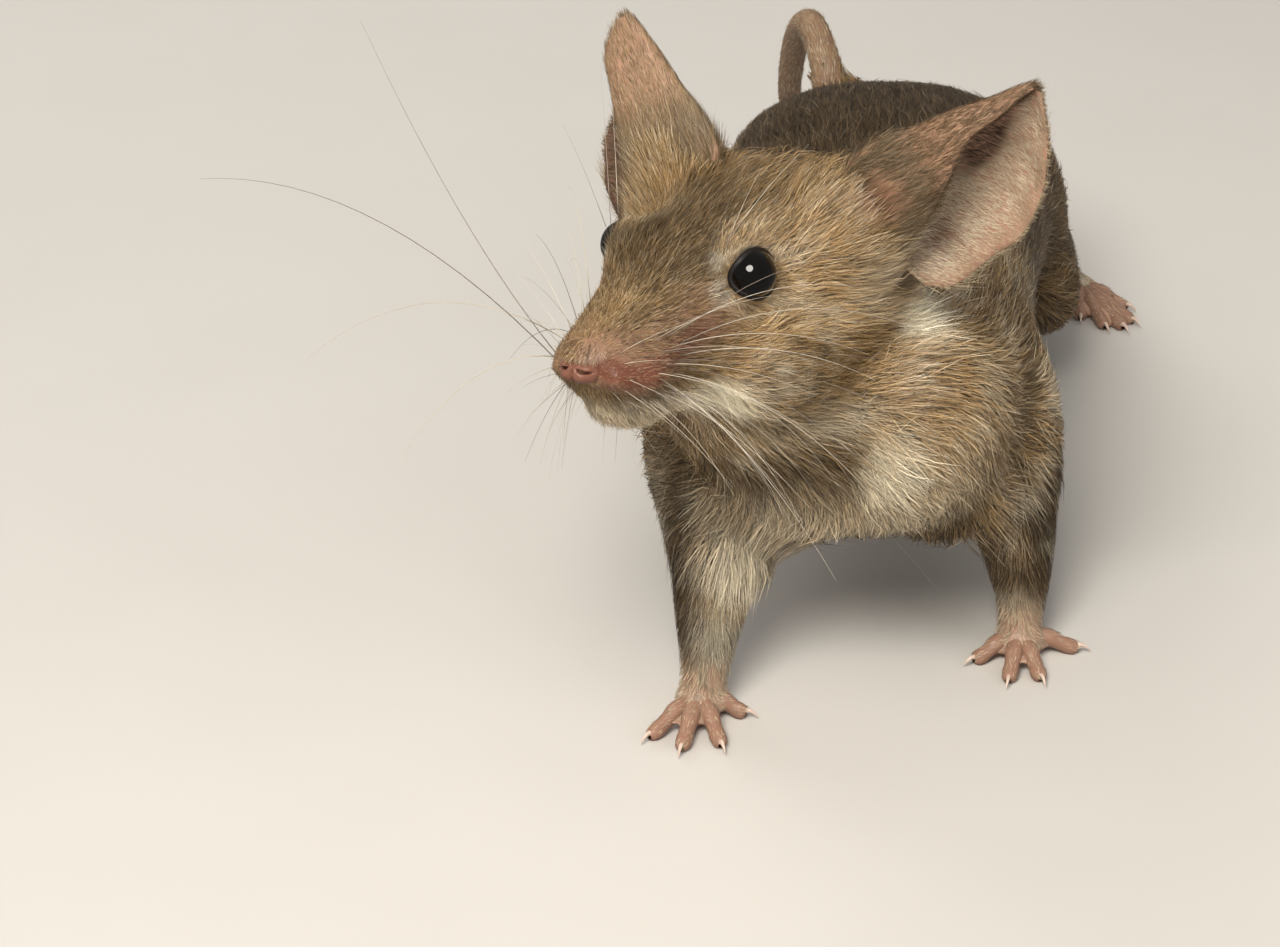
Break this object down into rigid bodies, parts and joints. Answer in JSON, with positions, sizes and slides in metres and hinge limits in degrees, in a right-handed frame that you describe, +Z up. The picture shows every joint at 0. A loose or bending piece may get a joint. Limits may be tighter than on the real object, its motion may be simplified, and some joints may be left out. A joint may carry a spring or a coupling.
{
  "type": "grey mouse",
  "caption": "Life-size grey-brown fancy mouse on all fours, head raised and turned to its right, with large cupped ears, long whiskers and a thin bare tail curled on the floor behind.",
  "frame": {"origin": "on the floor, under the middle of the model's box", "axes": "+Z up from the floor; the mouse faces -Y, its tail is towards +Y and its left side towards +X"},
  "size_m": [0.0756, 0.1202, 0.0517],
  "materials": {
    "fur": "short agouti coat, grey-brown over the back, buff on the cheeks and cream under the chin",
    "ear_skin": "thin pink skin under sparse fine hair",
    "bare_skin": "bare pink skin, ringed with fine scales on the tail",
    "eye_black": "wet black gloss"
  },
  "bodies": {
    "root": {"ear_left": "ear_skin", "ear_right": "ear_skin", "eye_left": "eye_black", "eye_right": "eye_black", "forearm_left": "fur", "forearm_right": "fur", "foreleg_left": "fur", "foreleg_right": "fur", "forepaw_left": "bare_skin", "forepaw_right": "bare_skin", "head": "fur", "hind_foot_left": "bare_skin", "hind_foot_right": "bare_skin", "neck": "fur", "shin_left": "fur", "shin_right": "fur", "tail_1": "bare_skin", "tail_2": "bare_skin", "tail_3": "bare_skin", "tail_4": "bare_skin", "tail_5": "bare_skin", "tail_6": "bare_skin", "thigh_left": "fur", "thigh_right": "fur", "trunk_front": "fur", "trunk_rear": "fur", "whisker_pad_left": "fur", "whisker_pad_right": "fur"}
  },
  "joints": []
}
